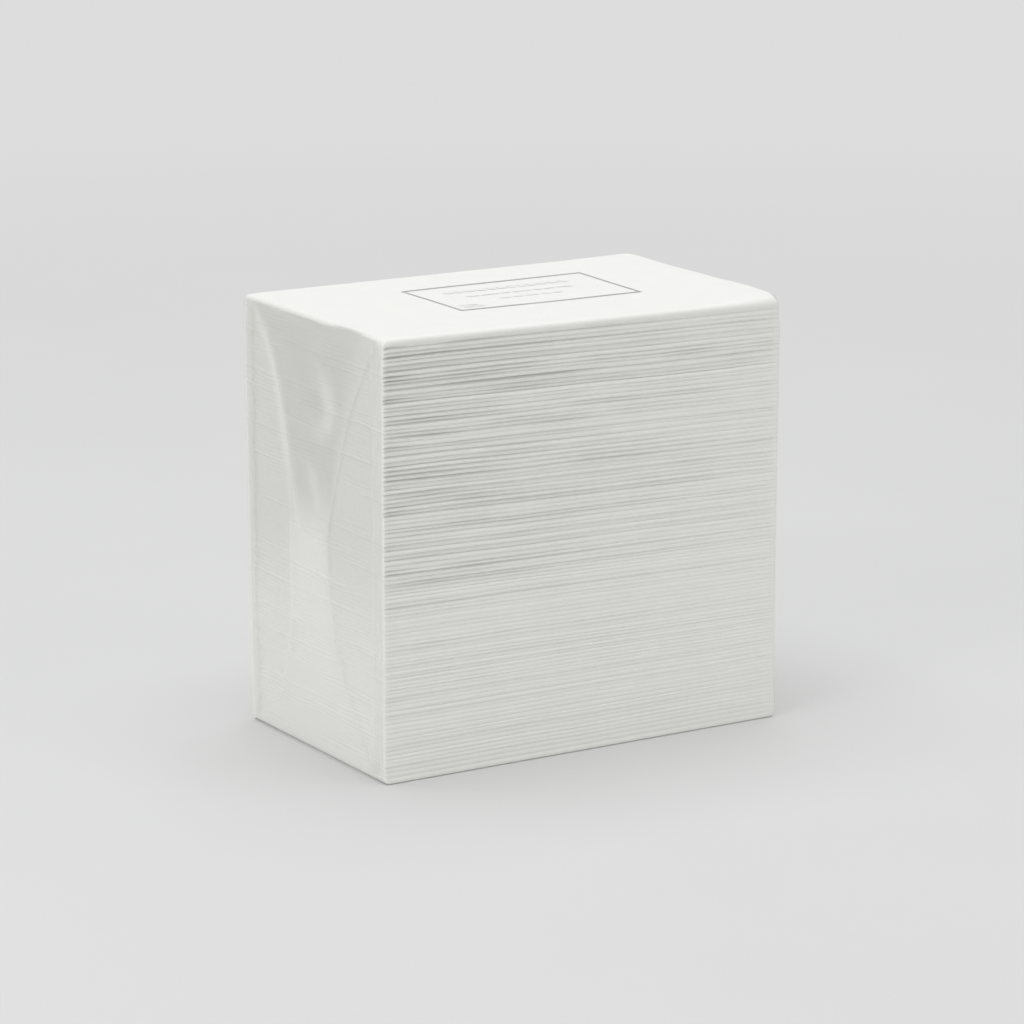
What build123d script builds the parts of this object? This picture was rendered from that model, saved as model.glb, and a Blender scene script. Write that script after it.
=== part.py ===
from build123d import *
import os

# A pack of paper towels, folded once and laid zigzag with their neighbours, in clear film.
# The origin is the middle of the base. X runs along the folds, the front folds face -Y, and Z is up.
# Sizes are in millimetres.

# Towels
sheet_width = 210.0  # length of each fold
folded_depth = 125.0  # from the crests of the front folds to the crests of the back folds
panel_thickness = 0.5  # one panel of two-ply towel, as packed
panels_per_fold = 4  # a towel's own two panels and the two of its neighbours that it wraps
front_folds = 100
fold_bulge = 0.3  # how far a fold stands proud of the crease beside it
shoulder_radius = 4.0  # top edge of the stack at both ends, pulled round by the film

# Film
film_thickness = 0.06
film_clearance = 0.2  # between the towels and the film
film_draw = 0.1  # how far the tight film is drawn in between two folds
lap_width = 24.0  # the film's two edges, one over the other along the base

# Envelope folds of the film at both ends
flap_waist_drop = 45.0  # how far from its base a flap has narrowed to its waist
flap_waist_width = 60.0
flap_tip_width = 36.0
flap_overlap = 8.0  # the lower flap's tip over the upper flap's tip

# What follows from these sizes
fold_pitch = panels_per_fold * panel_thickness
stack_height = front_folds * fold_pitch
stack_bottom = 2 * film_thickness  # on the lap seam
stack_middle = stack_bottom + stack_height / 2
stack_top = stack_bottom + stack_height
film_inside_width = sheet_width + 2 * film_clearance
end_wall = film_inside_width / 2 + film_thickness
flap_corner = folded_depth / 2 - fold_bulge
flap_bottom = stack_bottom
flap_top = stack_top - shoulder_radius
flap_middle = (flap_bottom + flap_top) / 2


def fold_arc(crease, crest):
    """One fold seen from the end: a round bulge between two creases, level with the sketch's origin."""
    below = (crease, -fold_pitch / 2)
    above = (crease, fold_pitch / 2)
    return ThreePointArc(below, (crest, 0), above, mode=Mode.PRIVATE)


def pack_form(margin, bulge, bottom):
    """The stack's form, or the film's at a margin outside it, with folds that bulge along the front and back.

    The back folds lie half a pitch off the front ones, and the ends are flat with round shoulders.
    """
    width = sheet_width + 2 * margin
    top = stack_top + margin
    crest = folded_depth / 2 + margin
    crease = crest - bulge
    top_edge = crease - margin
    half_fold = fold_pitch / 2
    with BuildPart() as form:
        with BuildSketch(Plane.YZ):
            with BuildLine():
                with Locations((0, stack_middle)):
                    with GridLocations(0, fold_pitch, 1, front_folds):
                        add(fold_arc(-crease, -crest))
                    with GridLocations(0, fold_pitch, 1, front_folds - 1):
                        add(fold_arc(crease, crest))
                Line((-top_edge, top), (top_edge, top))
                Line((crease, stack_top), (crease, stack_top - half_fold))
                Line((crease, stack_bottom + half_fold), (crease, bottom))
                Line((crease, bottom), (-crease, bottom))
                if margin > 0:  # the film bends over the top edges and in under the first fold
                    Line((-crease, stack_top), (-top_edge, top))
                    Line((top_edge, top), (crease, stack_top))
                    Line((-crease, bottom), (-crease, stack_bottom))
            make_face()
        extrude(amount=width / 2, both=True)
        with BuildSketch(Plane.XZ) as seen_from_front:
            with Locations((0, bottom)):
                Rectangle(width, top - bottom, align=(Align.CENTER, Align.MIN))
            fillet(seen_from_front.vertices().group_by(Axis.Y)[-1], shoulder_radius + margin)
        extrude(amount=2 * crest, both=True, mode=Mode.INTERSECT)
    return form.part


def flap_edges(base, waist, tip):
    """Draw a flap that narrows from the full depth at its base, past its waist, to its tip."""
    half_waist = flap_waist_width / 2
    half_tip = flap_tip_width / 2
    Line((-flap_corner, base), (flap_corner, base))
    ThreePointArc((flap_corner, base), (half_waist, waist), (half_tip, tip))
    Line((half_tip, tip), (-half_tip, tip))
    ThreePointArc((-half_tip, tip), (-half_waist, waist), (-flap_corner, base))


# Towels: one stack, pressed together
with BuildPart() as towel_stack:
    add(pack_form(0, fold_bulge, stack_bottom))
towel_stack.part.label = "towel_stack"

# Envelope fold of one end: the upper and the lower flap, and the lower one again where it lies over the upper
with BuildPart() as end_flaps:
    with BuildSketch(Plane.YZ.offset(end_wall)):
        with BuildLine():
            flap_edges(flap_top, flap_top - flap_waist_drop, flap_middle - flap_overlap / 2)
        make_face()
        with BuildLine():
            flap_edges(flap_bottom, flap_bottom + flap_waist_drop, flap_middle + flap_overlap / 2)
        make_face()
    extrude(amount=film_thickness)
    with BuildSketch(Plane.YZ.offset(end_wall + film_thickness)):
        with Locations((0, flap_middle)):
            Rectangle(flap_tip_width, flap_overlap)
    extrude(amount=film_thickness)

# Film: a closed skin round the towels, the lap seam inside its base, and the flaps on both ends
with BuildPart() as film_wrap:
    add(pack_form(film_clearance + film_thickness, film_draw, 0))
    add(pack_form(film_clearance, film_draw, film_thickness), mode=Mode.SUBTRACT)
    with BuildSketch(Plane.XY.offset(film_thickness)):
        Rectangle(film_inside_width, lap_width)
    extrude(amount=film_thickness)
    add(end_flaps.part)
    mirror(end_flaps.part, about=Plane.YZ)
film_wrap.part.label = "film_wrap"

os.makedirs("parts", exist_ok=True)
export_step(towel_stack.part, "parts/towel_stack.step")
export_step(film_wrap.part, "parts/film_wrap.step")
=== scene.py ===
"""A film-wrapped pack of folded paper towels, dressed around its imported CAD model."""

import logging
import math
from dataclasses import dataclass
from enum import Enum
from typing import Callable, Sequence

import bpy
import numpy as np
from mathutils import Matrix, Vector


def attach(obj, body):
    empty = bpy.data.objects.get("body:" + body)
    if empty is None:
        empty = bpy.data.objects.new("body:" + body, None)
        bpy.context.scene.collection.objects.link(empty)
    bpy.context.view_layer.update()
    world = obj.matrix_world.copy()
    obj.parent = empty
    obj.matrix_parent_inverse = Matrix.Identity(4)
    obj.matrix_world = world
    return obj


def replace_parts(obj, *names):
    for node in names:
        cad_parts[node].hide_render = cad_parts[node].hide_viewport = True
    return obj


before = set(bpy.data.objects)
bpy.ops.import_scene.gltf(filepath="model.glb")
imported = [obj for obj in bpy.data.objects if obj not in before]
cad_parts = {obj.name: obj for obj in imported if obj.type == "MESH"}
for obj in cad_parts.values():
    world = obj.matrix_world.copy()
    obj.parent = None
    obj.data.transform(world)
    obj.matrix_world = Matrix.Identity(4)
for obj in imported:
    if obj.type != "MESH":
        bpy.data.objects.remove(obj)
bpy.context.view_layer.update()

Array = np.ndarray
Colour = tuple[float, float, float]
Faces = list[list[int]]
Point = tuple[float, float]
Skin = tuple[Array, Faces]
Socket = bpy.types.NodeSocket
Tree = bpy.types.NodeTree
Vec3 = tuple[float, float, float]

LOG = logging.getLogger("towel_pack")
MM = 0.001
TONE = "tone"
# The middle range of Blender's noise, and the radians in one unit of its wave texture
NOISE_SPAN: Point = (0.3, 0.7)
WAVE_RADIANS = 20.0


# Finishes


def new_principled(name: str) -> tuple[bpy.types.Material, Tree, bpy.types.Node]:
    """Makes an empty node material.

    Args:
        name: the material's name.

    Returns:
        The material, its node tree and its Principled shader.
    """
    material = bpy.data.materials.new(name)
    material.use_nodes = True
    tree = material.node_tree
    return material, tree, tree.nodes["Principled BSDF"]


@dataclass(frozen=True)
class Grain:
    """Noise fixed to the object, by its grains to the metre and how many finer ones lie in each."""

    per_metre: Vec3
    detail: float

    def value(self, tree: Tree) -> Socket:
        """Adds the noise to a material.

        Args:
            tree: the material's nodes.

        Returns:
            The noise's value socket.
        """
        place = tree.nodes.new("ShaderNodeTexCoord")
        scale = tree.nodes.new("ShaderNodeMapping")
        scale.inputs["Scale"].default_value = self.per_metre
        noise = tree.nodes.new("ShaderNodeTexNoise")
        noise.inputs["Scale"].default_value = 1.0
        noise.inputs["Detail"].default_value = self.detail
        tree.links.new(place.outputs["Object"], scale.inputs["Vector"])
        tree.links.new(scale.outputs["Vector"], noise.inputs["Vector"])
        return noise.outputs["Fac"]


@dataclass(frozen=True)
class Relief:
    """Fine relief, by its depth in metres and how much of it shows."""

    depth: float
    strength: float

    def normal(self, tree: Tree, height: Socket, under: Socket | None = None) -> Socket:
        """Adds the relief to a material.

        Args:
            tree: the material's nodes.
            height: the height, from 0 to 1.
            under: a coarser relief that this one lies on.

        Returns:
            The normal socket.
        """
        node = tree.nodes.new("ShaderNodeBump")
        node.inputs["Distance"].default_value = self.depth
        node.inputs["Strength"].default_value = self.strength
        tree.links.new(height, node.inputs["Height"])
        if under is not None:
            tree.links.new(under, node.inputs["Normal"])
        return node.outputs["Normal"]


def spread(tree: Tree, value: Socket, limits: Point) -> Socket:
    """Maps a noise from its middle range to two limits.

    Args:
        tree: the material's nodes.
        value: the noise.
        limits: what its low end and its high end become.

    Returns:
        The mapped value socket.
    """
    node = tree.nodes.new("ShaderNodeMapRange")
    node.inputs["From Min"].default_value, node.inputs["From Max"].default_value = NOISE_SPAN
    node.inputs["To Min"].default_value, node.inputs["To Max"].default_value = limits
    tree.links.new(value, node.inputs["Value"])
    return node.outputs["Result"]


def tint(tree: Tree, value: Socket, dark: Colour, light: Colour, span: Point = NOISE_SPAN) -> Socket:
    """Turns a value into a colour between two shades.

    Args:
        tree: the material's nodes.
        value: the value, such as a noise.
        dark: shade at its low end.
        light: shade at its high end.
        span: the low end and the high end.

    Returns:
        The colour socket.
    """
    ramp = tree.nodes.new("ShaderNodeValToRGB")
    ramp.color_ramp.elements[0].position, ramp.color_ramp.elements[1].position = span
    ramp.color_ramp.elements[0].color = (*dark, 1.0)
    ramp.color_ramp.elements[1].color = (*light, 1.0)
    tree.links.new(value, ramp.inputs["Fac"])
    return ramp.outputs["Color"]


def shown_rays(tree: Tree) -> Socket:
    """Marks the rays that show the backdrop: those from the camera, and those from gloss and clear film.

    Args:
        tree: the nodes of a material or the sky.

    Returns:
        A value socket, 1 for those rays and 0 for the others.
    """
    path = tree.nodes.new("ShaderNodeLightPath")
    shown = path.outputs["Is Camera Ray"]
    for ray in ("Is Glossy Ray", "Is Transmission Ray"):
        either = tree.nodes.new("ShaderNodeMath")
        either.operation = "MAXIMUM"
        tree.links.new(shown, either.inputs[0])
        tree.links.new(path.outputs[ray], either.inputs[1])
        shown = either.outputs[0]
    return shown


@dataclass(frozen=True)
class TowelPaper:
    """Soft white two-ply towel, creped along the sheet."""

    name: str = "towel_paper"
    light: Colour = (0.880, 0.880, 0.857)
    dark: Colour = (0.864, 0.864, 0.840)
    roughness: float = 0.95
    specular: float = 0.2
    mottle: Grain = Grain((90.0, 90.0, 90.0), 4.0)
    crepe: Grain = Grain((260.0, 900.0, 900.0), 3.0)
    crepe_relief: Relief = Relief(0.10 * MM, 0.5)

    def material(self) -> bpy.types.Material:
        """Builds the paper: faint mottling and crepe lines.

        Returns:
            The material.
        """
        material, tree, shader = new_principled(self.name)
        shade = tint(tree, self.mottle.value(tree), self.dark, self.light)
        relief = self.crepe_relief.normal(tree, self.crepe.value(tree))
        shader.inputs["Roughness"].default_value = self.roughness
        shader.inputs["Specular IOR Level"].default_value = self.specular
        tree.links.new(shade, shader.inputs["Base Color"])
        tree.links.new(relief, shader.inputs["Normal"])
        return material


@dataclass(frozen=True)
class CutEdges:
    """The towels' cut edges: each panel is a fine line along the end of the stack."""

    name: str = "cut_edges"
    light: Colour = (0.885, 0.885, 0.862)
    dark: Colour = (0.835, 0.835, 0.808)
    roughness: float = 0.97
    specular: float = 0.15
    panel: float = 0.5 * MM
    line_sway: float = 3.0
    sway_detail: float = 2.0
    sway_scale: float = 0.05
    line_relief: Relief = Relief(0.12 * MM, 0.35)
    fibre: Grain = Grain((500.0, 500.0, 1400.0), 3.0)
    fibre_relief: Relief = Relief(0.12 * MM, 0.4)

    def material(self) -> bpy.types.Material:
        """Builds the cut edges: one line to each panel, broken up by loose fibre.

        Returns:
            The material.
        """
        material, tree, shader = new_principled(self.name)
        place = tree.nodes.new("ShaderNodeTexCoord")
        lines = tree.nodes.new("ShaderNodeTexWave")
        lines.bands_direction = "Z"
        lines.inputs["Scale"].default_value = math.tau / (WAVE_RADIANS * self.panel)
        lines.inputs["Distortion"].default_value = self.line_sway
        lines.inputs["Detail"].default_value = self.sway_detail
        lines.inputs["Detail Scale"].default_value = self.sway_scale
        tree.links.new(place.outputs["Object"], lines.inputs["Vector"])
        fibre = self.fibre.value(tree)
        relief = self.line_relief.normal(tree, lines.outputs["Fac"])
        shader.inputs["Roughness"].default_value = self.roughness
        shader.inputs["Specular IOR Level"].default_value = self.specular
        tree.links.new(tint(tree, fibre, self.dark, self.light), shader.inputs["Base Color"])
        tree.links.new(self.fibre_relief.normal(tree, fibre, relief), shader.inputs["Normal"])
        return material


@dataclass(frozen=True)
class PackFilm:
    """Thin clear film. It turns hazy where it is doubled or creased, and dull where its tone is high; over
    the sleeve's ends that tone paints shade.
    """

    name: str
    haze: float
    clear: Colour = (0.97, 0.97, 0.96)
    dull: Colour = (0.62, 0.63, 0.60)
    gloss: Point = (0.12, 0.24)
    ior: float = 1.5
    ripple: Grain = Grain((60.0, 60.0, 25.0), 0.0)
    ripple_relief: Relief = Relief(0.25 * MM, 0.25)

    def material(self) -> bpy.types.Material:
        """Builds the film: see-through, with soft uneven gloss.

        Returns:
            The material.
        """
        material, tree, shader = new_principled(self.name)
        ripple = self.ripple.value(tree)
        tone = tree.nodes.new("ShaderNodeAttribute")
        tone.attribute_name = TONE
        shade = tint(tree, tone.outputs["Fac"], self.clear, self.dull, (0.0, 1.0))
        shader.inputs["Alpha"].default_value = self.haze
        shader.inputs["IOR"].default_value = self.ior
        tree.links.new(shade, shader.inputs["Base Color"])
        tree.links.new(spread(tree, ripple, self.gloss), shader.inputs["Roughness"])
        tree.links.new(self.ripple_relief.normal(tree, ripple), shader.inputs["Normal"])
        material.surface_render_method = "BLENDED"
        return material


@dataclass(frozen=True)
class PrintInk:
    """Grey ink printed on the film."""

    name: str = "print_ink"
    light: Colour = (0.46, 0.46, 0.46)
    dark: Colour = (0.41, 0.41, 0.41)
    gloss: Point = (0.4, 0.6)
    grain: Grain = Grain((700.0, 700.0, 700.0), 2.0)

    def material(self) -> bpy.types.Material:
        """Builds the ink, a little uneven, with a soft gloss.

        Returns:
            The material.
        """
        material, tree, shader = new_principled(self.name)
        grain = self.grain.value(tree)
        tree.links.new(tint(tree, grain, self.dark, self.light), shader.inputs["Base Color"])
        tree.links.new(spread(tree, grain, self.gloss), shader.inputs["Roughness"])
        return material


@dataclass(frozen=True)
class StudioFloor:
    """Plain pale studio table that fades into the backdrop away from the pack."""

    backdrop: Colour
    name: str = "studio_floor"
    light: Colour = (0.70, 0.70, 0.70)
    dark: Colour = (0.69, 0.69, 0.69)
    roughness: float = 0.9
    specular: float = 0.1
    grain: Grain = Grain((6.0, 6.0, 6.0), 2.0)
    fade: Point = (0.45, 1.9)

    def material(self) -> bpy.types.Material:
        """Builds the matt table top.

        Returns:
            The material.
        """
        material, tree, shader = new_principled(self.name)
        shader.inputs["Roughness"].default_value = self.roughness
        shader.inputs["Specular IOR Level"].default_value = self.specular
        shade = tint(tree, self.grain.value(tree), self.dark, self.light)
        tree.links.new(shade, shader.inputs["Base Color"])
        place = tree.nodes.new("ShaderNodeTexCoord")
        away = tree.nodes.new("ShaderNodeVectorMath")
        away.operation = "LENGTH"
        far = tree.nodes.new("ShaderNodeMapRange")
        far.interpolation_type = "SMOOTHSTEP"
        far.inputs["From Min"].default_value, far.inputs["From Max"].default_value = self.fade
        share = tree.nodes.new("ShaderNodeMath")
        share.operation = "MULTIPLY"
        glow = tree.nodes.new("ShaderNodeEmission")
        glow.inputs["Color"].default_value = (*self.backdrop, 1.0)
        mix = tree.nodes.new("ShaderNodeMixShader")
        tree.links.new(place.outputs["Object"], away.inputs[0])
        tree.links.new(away.outputs["Value"], far.inputs["Value"])
        tree.links.new(far.outputs["Result"], share.inputs[0])
        tree.links.new(shown_rays(tree), share.inputs[1])
        tree.links.new(share.outputs["Value"], mix.inputs["Fac"])
        tree.links.new(shader.outputs["BSDF"], mix.inputs[1])
        tree.links.new(glow.outputs["Emission"], mix.inputs[2])
        tree.links.new(mix.outputs["Shader"], tree.nodes["Material Output"].inputs["Surface"])
        return material


# Mesh tools


def unit(value: Array | float) -> Array:
    """Keeps values between 0 and 1."""
    return np.clip(value, 0.0, 1.0)


def ease(share: Array) -> Array:
    """Smooths shares from 0 to 1 at both ends."""
    return share * share * (3.0 - 2.0 * share)


def share_of(place: Array, half: float) -> Array:
    """Turns places from one side to the other into shares from 0 to 1."""
    return place / half / 2 + 0.5


@dataclass(frozen=True)
class Drift:
    """A seeded random field that changes smoothly over two directions, each from 0 to 1."""

    seed: int
    cells_u: int
    cells_v: int

    def at(self, u: Array, v: Array) -> Array:
        """Reads the field.

        Args:
            u: places along the first direction.
            v: places along the second direction.

        Returns:
            Values of about -1 to 1.
        """
        grid = np.random.default_rng(self.seed).uniform(-1.0, 1.0, (self.cells_u + 2, self.cells_v + 2))
        u, v = np.broadcast_arrays(unit(u) * self.cells_u, unit(v) * self.cells_v)
        i, j = u.astype(int), v.astype(int)
        s, t = ease(u - i), ease(v - j)
        near = grid[i, j] * (1.0 - t) + grid[i, j + 1] * t
        far = grid[i + 1, j] * (1.0 - t) + grid[i + 1, j + 1] * t
        return near * (1.0 - s) + far * s


@dataclass(frozen=True)
class Rounding:
    """Radii of the top and bottom edges of a wrapped form, in X and in Y.

    Along an end the film draws the upper towels down unevenly, so the top's radius there is a changing share.
    """

    top_x: float
    top_y: float
    base_x: float
    base_y: float
    lip_at: tuple[float, ...] = (-62.0, -52.0, -40.0, -28.0, -14.0, 2.0, 20.0, 40.0, 62.0)
    lip: tuple[float, ...] = (1.25, 1.15, 0.45, 0.55, 1.20, 0.90, 1.10, 1.0, 0.9)

    def inset(self, y: Array, z: Array, low: float, high: float) -> tuple[Array, Array]:
        """How far the edges are drawn in at each height.

        Args:
            y: places across the end.
            z: heights.
            low: the form's lowest height.
            high: the form's highest height.

        Returns:
            The insets in X and in Y.
        """
        def arc(radius: Array | float, left: Array) -> Array:
            """Inset of a quarter round at a distance from its end."""
            dip = np.clip(radius - left, 0.0, radius)
            return radius - np.sqrt(radius ** 2 - dip ** 2)

        top_x = self.top_x * np.interp(y, self.lip_at, self.lip)
        return (arc(top_x, high - z) + arc(self.base_x, z - low),
                arc(self.top_y, high - z) + arc(self.base_y, z - low))


@dataclass(frozen=True)
class Settle:
    """How the wrapped pack has settled out of square. Millimetres.

    The corners of its box, from the front left one round, have moved at the top and at the base.
    The top swells along both ends, and its corners are drawn in.
    """

    half_width: float = 105.0
    half_depth: float = 62.5
    height: float = 200.0
    top: tuple[Vec3, ...] = ((0.3, 0.0, 0.8), (1.4, 0.0, -2.4), (0.9, 0.4, 0.2), (-1.1, 0.3, 1.4))
    base: tuple[Vec3, ...] = ((0.0, 0.0, 0.0), (1.1, 0.0, 0.0), (0.0, 0.0, 0.0), (0.9, 0.0, 0.0))
    swell_at: tuple[float, ...] = (-62.0, -50.0, -38.0, -28.0, -13.0, 2.0, 20.0, 40.0, 62.0)
    swell: tuple[float, ...] = (0.0, 0.2, 0.9, 0.8, -0.3, 0.2, 0.1, 0.0, 0.0)
    swell_reach: float = 9.0
    swell_power: int = 12
    rise_at: tuple[float, ...] = (-62.5, -58.0, -52.0, -42.0, -10.0, 10.0, 30.0, 45.0, 62.5)
    rise: tuple[float, ...] = (0.0, 2.3, 2.7, 2.5, 1.8, 1.3, 0.8, 0.7, 0.4)
    rise_reach: float = 26.0
    rise_power: int = 6
    corner_span: float = 7.0
    corner_draw: float = 0.9
    corner_drop: float = 0.6
    corner_power: float = 1.5
    corner_from: float = 0.92
    corner_depth: float = 0.08

    def apply(self, points: Array) -> Array:
        """Settles points.

        Args:
            points: the points in the square box.

        Returns:
            The settled points.
        """
        x, y = points[..., 0], points[..., 1]
        share = points / (2 * self.half_width, 2 * self.half_depth, self.height) + (0.5, 0.5, 0.0)
        u, v, w = np.moveaxis(unit(share), -1, 0)
        near = ((1 - u) * (1 - v), u * (1 - v), u * v, (1 - u) * v)
        moved = np.array(points, float)
        for weight, corners in ((w ** 2, self.top), ((1.0 - w) ** 2, self.base)):
            for part, corner in zip(near, corners):
                moved += (weight * part)[..., None] * np.array(corner)
        left_end = np.exp(-(self.half_width + x).clip(0.0) / self.swell_reach)
        moved[..., 2] += np.interp(y, self.swell_at, self.swell) * left_end * w ** self.swell_power
        right_end = np.exp(-((self.half_width - x).clip(0.0) / self.rise_reach) ** 2)
        moved[..., 2] += np.interp(y, self.rise_at, self.rise) * right_end * w ** self.rise_power
        side = unit(1.0 - (self.half_width - np.abs(x)) / self.corner_span)
        face = unit(1.0 - (self.half_depth - np.abs(y)) / self.corner_span)
        corner = (side * face) ** self.corner_power * unit((w - self.corner_from) / self.corner_depth)
        moved[..., :2] -= np.sign(points[..., :2]) * (self.corner_draw * corner)[..., None]
        moved[..., 2] -= self.corner_drop * corner
        return moved


def grid_quads(names: Array) -> Array:
    """Joins a grid of point numbers into four-sided faces, one row each."""
    return np.stack([names[:-1, :-1], names[1:, :-1], names[1:, 1:], names[:-1, 1:]], -1).reshape(-1, 4)


@dataclass(frozen=True)
class WrapLoop:
    """A rounded rectangle from above, as a closed loop of columns that starts at the front left corner."""

    half_width: float
    half_depth: float
    corner: float
    along: int
    across: int
    corner_steps: int = 2
    crowding: float = 0.6

    @property
    def front_count(self) -> int:
        """Columns on the front, half of both corners among them."""
        return self.along + 2 * self.corner_steps

    @property
    def end_count(self) -> int:
        """Columns on an end, half of both corners among them."""
        return self.across + 2 * self.corner_steps

    def columns(self) -> tuple[Array, Array, Array]:
        """Places the columns, closest together at the corners.

        Returns:
            X, Y and the outward direction in X, one of each to a column.
        """
        inner_x, inner_y = self.half_width - self.corner, self.half_depth - self.corner
        centres = np.array([(-1, -1), (1, -1), (1, 1), (-1, 1)]) * (inner_x, inner_y)
        spots, angles = [], []
        for side, steps in enumerate((self.along, self.across, self.along, self.across)):
            start, end = centres[side], centres[(side + 1) % 4]
            facing = math.pi / 2 * (side - 1)
            for i in range(self.corner_steps):
                spots.append(start)
                angles.append(facing - math.pi / 4 * (1.0 - i / self.corner_steps))
            for i in range(steps):
                share = i / steps - self.crowding * math.sin(math.tau * i / steps) / math.tau
                spots.append(start + (end - start) * share)
                angles.append(facing)
            for i in range(self.corner_steps):
                spots.append(end)
                angles.append(facing + math.pi / 4 * i / self.corner_steps)
        spots, angles = np.array(spots), np.array(angles)
        out_x, out_y = np.cos(angles), np.sin(angles)
        return spots[:, 0] + self.corner * out_x, spots[:, 1] + self.corner * out_y, out_x

    def skin(self, rows: Array, crown: Callable[[Array, Array], Array]) -> Skin:
        """Closes rows of columns into one skin with a top and a base.

        Args:
            rows: the points, by row from the base up, then by column.
            crown: the top's relief at places in X and Y.

        Returns:
            The vertices and the faces.
        """
        count = rows.shape[1]
        last = (rows.shape[0] - 1) * count
        r, c = np.meshgrid(np.arange(rows.shape[0] - 1), np.arange(count), indexing="ij")
        a, b = r * count + c, r * count + (c + 1) % count
        faces = np.stack([a, b, b + count, a + count], -1).reshape(-1, 4).tolist()
        vertices = [rows.reshape(-1, 3)]
        m, n, total = self.front_count, self.end_count, rows.shape[0] * count
        ring = np.arange(count)
        front, right = ring[:m + 1], ring[m:m + n + 1]
        back, left = ring[m + n:2 * m + n + 1][::-1], np.append(ring[2 * m + n:], 0)[::-1]
        for start, loop, upward in ((0, rows[0], False), (last, rows[-1], True)):
            span_x = loop[front, 0] + loop[back, 0]
            span_y = loop[left, 1] + loop[right, 1]
            u = ((span_x - span_x[0]) / (span_x[-1] - span_x[0]))[:, None, None]
            v = ((span_y - span_y[0]) / (span_y[-1] - span_y[0]))[None, :, None]
            corners = ((1 - u) * (1 - v) * loop[front[0]] + u * (1 - v) * loop[front[-1]]
                       + u * v * loop[back[-1]] + (1 - u) * v * loop[back[0]])
            patch = ((1 - v) * loop[front][:, None] + v * loop[back][:, None]
                     + (1 - u) * loop[left][None] + u * loop[right][None] - corners)
            inner = patch[1:-1, 1:-1].reshape(-1, 3).copy()
            if upward:
                inner[:, 2] += crown(inner[:, 0], inner[:, 1])
            names = np.zeros((m + 1, n + 1), int)
            names[:, 0], names[:, -1] = start + front, start + back
            names[0], names[-1] = start + left, start + right
            names[1:-1, 1:-1] = total + np.arange(len(inner)).reshape(m - 1, n - 1)
            total += len(inner)
            vertices.append(inner)
            quads = grid_quads(names)
            faces += (quads if upward else quads[:, ::-1]).tolist()
        return np.concatenate(vertices), faces


def open_sheet(points: Array) -> Skin:
    """Joins a grid of points into a sheet with no thickness.

    Args:
        points: the sheet's points, by row and column.

    Returns:
        The vertices and the faces.
    """
    names = np.arange(points.shape[0] * points.shape[1]).reshape(points.shape[:2])
    return points.reshape(-1, 3), grid_quads(names).tolist()


def thin_sheet(outer: Array, inner: Array) -> Skin:
    """Closes two grids of the same count into a thin sheet.

    Args:
        outer: points of the outer side, by row and column.
        inner: points of the inner side.

    Returns:
        The vertices and the faces.
    """
    m, n = outer.shape[:2]
    names = np.arange(m * n).reshape(m, n)
    quads = grid_quads(names)
    rim = np.concatenate([names[:, 0], names[-1, 1:], names[-2::-1, -1], names[0, -2:0:-1]])
    after = np.roll(rim, -1)
    walls = np.stack([after, rim, rim + m * n, after + m * n], -1)
    faces = quads.tolist() + (quads[:, ::-1] + m * n).tolist() + walls.tolist()
    return np.concatenate([outer.reshape(-1, 3), inner.reshape(-1, 3)]), faces


def join(skins: Sequence[Skin]) -> Skin:
    """Puts several skins into one.

    Args:
        skins: the vertices and the faces of each.

    Returns:
        The vertices and the faces of all.
    """
    vertices, faces, total = [], [], 0
    for part, made in skins:
        vertices.append(part)
        faces += [[index + total for index in face] for face in made]
        total += len(part)
    return np.concatenate(vertices), faces


def even_path(points: Sequence[Point], count: int) -> Array:
    """Reads a smooth line through points at even steps.

    Args:
        points: the line's own points.
        count: how many steps to read.

    Returns:
        The places, one row each.
    """
    given = np.array(points, float)
    padded = np.concatenate([2 * given[:1] - given[1:2], given, 2 * given[-1:] - given[-2:-1]])
    t = np.linspace(0.0, len(given) - 1.0, count)
    i = np.minimum(t.astype(int), len(given) - 2)
    s = (t - i)[:, None]
    p0, p1, p2, p3 = (padded[i + k] for k in range(4))
    return 0.5 * (2 * p1 + (p2 - p0) * s + (2 * p0 - 5 * p1 + 4 * p2 - p3) * s ** 2
                  + (3 * p1 - p0 - 3 * p2 + p3) * s ** 3)


def new_piece(name: str, skin: Skin, materials: Sequence[bpy.types.Material],
              tone: Array | None = None) -> bpy.types.Object:
    """Makes a smooth mesh piece that rides on the settled pack.

    Args:
        name: the piece's name.
        skin: its vertices in millimetres, in the square box, and its faces.
        materials: its materials, the first for all faces until they are given another.
        tone: how dull the film is at each vertex, from 0 to 1.

    Returns:
        The piece.
    """
    vertices, faces = skin
    mesh = bpy.data.meshes.new(name)
    mesh.from_pydata((Settle().apply(vertices) * MM).tolist(), [], faces)
    mesh.update()
    if tone is not None:
        values = mesh.attributes.new(TONE, "FLOAT", "POINT").data
        values.foreach_set("value", tone.astype(np.float32).ravel())
    mesh.polygons.foreach_set("use_smooth", np.ones(len(mesh.polygons), bool))
    for material in materials:
        mesh.materials.append(material)
    piece = bpy.data.objects.new(name, mesh)
    bpy.context.scene.collection.objects.link(piece)
    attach(piece, "root")
    LOG.info("%s: %d faces", name, len(mesh.polygons))
    return piece


def face_vectors(piece: bpy.types.Object, kind: str) -> Array:
    """Reads a vector of every face of a piece.

    Args:
        piece: the piece.
        kind: which vector, normal or center.

    Returns:
        The vectors, one row each.
    """
    values = np.zeros(len(piece.data.polygons) * 3, np.float32)
    piece.data.polygons.foreach_get(kind, values)
    return values.reshape(-1, 3)


# Towels


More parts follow.
